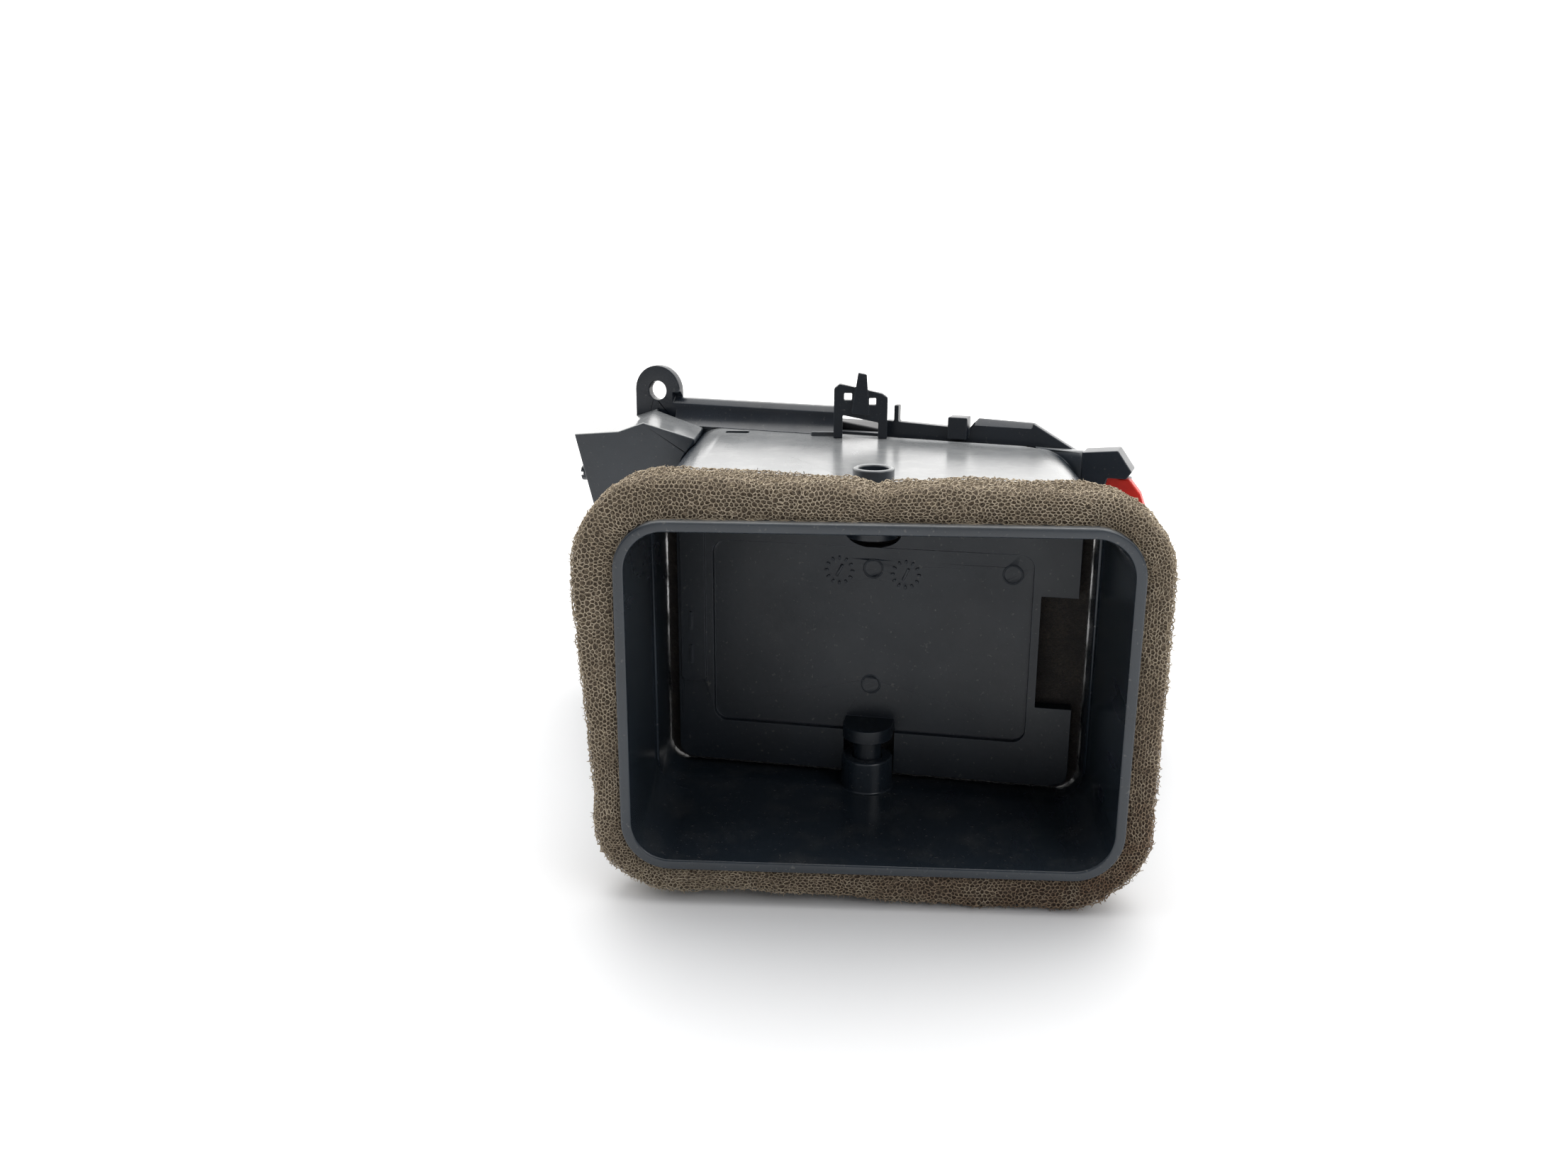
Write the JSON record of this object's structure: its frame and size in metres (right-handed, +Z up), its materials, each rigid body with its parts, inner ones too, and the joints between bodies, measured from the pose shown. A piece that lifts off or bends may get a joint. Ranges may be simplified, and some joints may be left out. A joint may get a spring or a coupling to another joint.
{
  "type": "dashboard air outlet",
  "caption": "Rectangular air duct with a foam-wrapped inlet, a turning shut-off plate, two sets of linked vanes and a thumb wheel.",
  "frame": {"origin": "middle of the bounding box's base, on the surface that the part stands on", "axes": "-Y out of the foam-wrapped duct inlet, +Y towards the face plate, +X to the right seen from the inlet, +Z up"},
  "size_m": [0.155, 0.152, 0.0974],
  "materials": {
    "duct_plastic": "satin moulded polypropylene, dark blue-grey, glossy at low angles",
    "case_plastic": "satin moulded polypropylene, near black with a blue tinge",
    "bezel_plastic": "fine-grained moulded plastic, charcoal",
    "foam": "open-cell foam, taupe brown",
    "felt": "thin brown felt",
    "rubber": "matt ribbed rubber",
    "steel": "zinc-plated steel",
    "red_plastic": "bright red moulded plastic",
    "satin_trim": "satin silver paint on plastic"
  },
  "bodies": {
    "housing": {"duct_housing": "duct_plastic", "foam_seal": "foam", "outlet_case": "case_plastic", "bezel": "bezel_plastic", "trim_ring": "satin_trim", "dial_cover": "duct_plastic", "snap_clip": "case_plastic", "red_clip": "red_plastic", "rear_rail_top": "case_plastic", "rear_rail_bottom": "case_plastic", "side_strip_left": "case_plastic", "side_strip_right": "case_plastic", "case_screws": "steel", "detent_spring": "steel", "dial_axle": "steel"},
    "dial": {"dial_wheel": "bezel_plastic", "dial_grip": "rubber"},
    "rod": {"link_rod": "case_plastic"},
    "valve": {"valve_plate": "duct_plastic", "valve_felt": "felt", "valve_lever": "case_plastic", "lever_screw": "steel"},
    "front_1": {"front_vane_1": "bezel_plastic"},
    "front_2": {"front_vane_2": "bezel_plastic"},
    "front_3": {"front_vane_3": "bezel_plastic"},
    "front_4": {"front_vane_4": "bezel_plastic"},
    "front_bar": {"front_link_bar": "case_plastic"},
    "rear_1": {"rear_vane_1": "case_plastic"},
    "rear_2": {"rear_vane_2": "case_plastic"},
    "rear_3": {"rear_vane_3": "case_plastic"},
    "rear_4": {"rear_vane_4": "case_plastic"},
    "rear_5": {"rear_vane_5": "case_plastic"},
    "rear_bar": {"rear_link_bar": "case_plastic"},
    "knob": {"vane_knob": "bezel_plastic", "knob_pad": "rubber"}
  },
  "joints": [
    {"name": "dial_turn", "type": "hinge", "parent": "housing", "child": "dial", "pos_m": [-0.062, 0.05747, 0.0442], "axis": [1, 0, 0], "range_deg": [0, 60]},
    {"name": "rod_slide", "type": "slide", "parent": "housing", "child": "rod", "axis": [0, 1, 0], "range_m": [0, 0.012]},
    {"name": "valve_turn", "type": "hinge", "parent": "housing", "child": "valve", "pos_m": [-0.0005, -0.03703, 0.0402], "axis": [0, 0, -1], "range_deg": [0, 60]},
    {"name": "front_vanes_tilt", "type": "hinge", "parent": "housing", "child": "front_2", "pos_m": [0.00433, 0.03929, 0.03445], "axis": [0.9511, -0.309, 0], "range_deg": [-25, 25]},
    {"name": "front_vane_1_tilt", "type": "hinge", "parent": "housing", "child": "front_1", "pos_m": [0.00433, 0.03929, 0.02095], "axis": [0.9511, -0.309, 0], "range_deg": [-25, 25]},
    {"name": "front_vane_3_tilt", "type": "hinge", "parent": "housing", "child": "front_3", "pos_m": [0.00433, 0.03929, 0.04795], "axis": [0.9511, -0.309, 0], "range_deg": [-25, 25]},
    {"name": "front_vane_4_tilt", "type": "hinge", "parent": "housing", "child": "front_4", "pos_m": [0.00433, 0.03929, 0.06145], "axis": [0.9511, -0.309, 0], "range_deg": [-25, 25]},
    {"name": "front_bar_swing", "type": "hinge", "parent": "front_2", "child": "front_bar", "pos_m": [0.04215, 0.01816, 0.03445], "axis": [0.9511, -0.309, 0], "range_deg": [-25, 25]},
    {"name": "knob_slide", "type": "slide", "parent": "front_2", "child": "knob", "axis": [0.9511, -0.309, 0], "range_m": [-0.0054, 0.0054]},
    {"name": "rear_vane_1_turn", "type": "hinge", "parent": "housing", "child": "rear_1", "pos_m": [-0.03357, 0.03267, 0.0402], "axis": [0, 0, -1], "range_deg": [-30, 30]},
    {"name": "rear_vane_2_turn", "type": "hinge", "parent": "housing", "child": "rear_2", "pos_m": [-0.0174, 0.02742, 0.0402], "axis": [0, 0, -1], "range_deg": [-30, 30]},
    {"name": "rear_vane_3_turn", "type": "hinge", "parent": "housing", "child": "rear_3", "pos_m": [-0.00124, 0.02217, 0.0402], "axis": [0, 0, -1], "range_deg": [-30, 30]},
    {"name": "rear_vane_4_turn", "type": "hinge", "parent": "housing", "child": "rear_4", "pos_m": [0.01493, 0.01691, 0.0402], "axis": [0, 0, -1], "range_deg": [-30, 30]},
    {"name": "rear_vane_5_turn", "type": "hinge", "parent": "housing", "child": "rear_5", "pos_m": [0.0311, 0.01166, 0.0402], "axis": [0, 0, -1], "range_deg": [-30, 30]},
    {"name": "rear_bar_swing", "type": "hinge", "parent": "rear_3", "child": "rear_bar", "pos_m": [-0.00309, 0.01646, 0.0222], "axis": [0, 0, -1], "range_deg": [-30, 30]}
  ],
  "couplings": [
    {"joint": "dial_turn", "follows": "rod_slide", "rad_per_m": 87.266},
    {"joint": "valve_turn", "follows": "rod_slide", "rad_per_m": 87.266},
    {"joint": "front_vane_1_tilt", "follows": "front_vanes_tilt", "ratio": 1},
    {"joint": "front_vane_3_tilt", "follows": "front_vanes_tilt", "ratio": 1},
    {"joint": "front_vane_4_tilt", "follows": "front_vanes_tilt", "ratio": 1},
    {"joint": "front_bar_swing", "follows": "front_vanes_tilt", "ratio": -1},
    {"joint": "rear_vane_1_turn", "follows": "knob_slide", "rad_per_m": 96.963},
    {"joint": "rear_vane_2_turn", "follows": "knob_slide", "rad_per_m": 96.963},
    {"joint": "rear_vane_3_turn", "follows": "knob_slide", "rad_per_m": 96.963},
    {"joint": "rear_vane_4_turn", "follows": "knob_slide", "rad_per_m": 96.963},
    {"joint": "rear_vane_5_turn", "follows": "knob_slide", "rad_per_m": 96.963},
    {"joint": "rear_bar_swing", "follows": "knob_slide", "rad_per_m": -96.963}
  ]
}
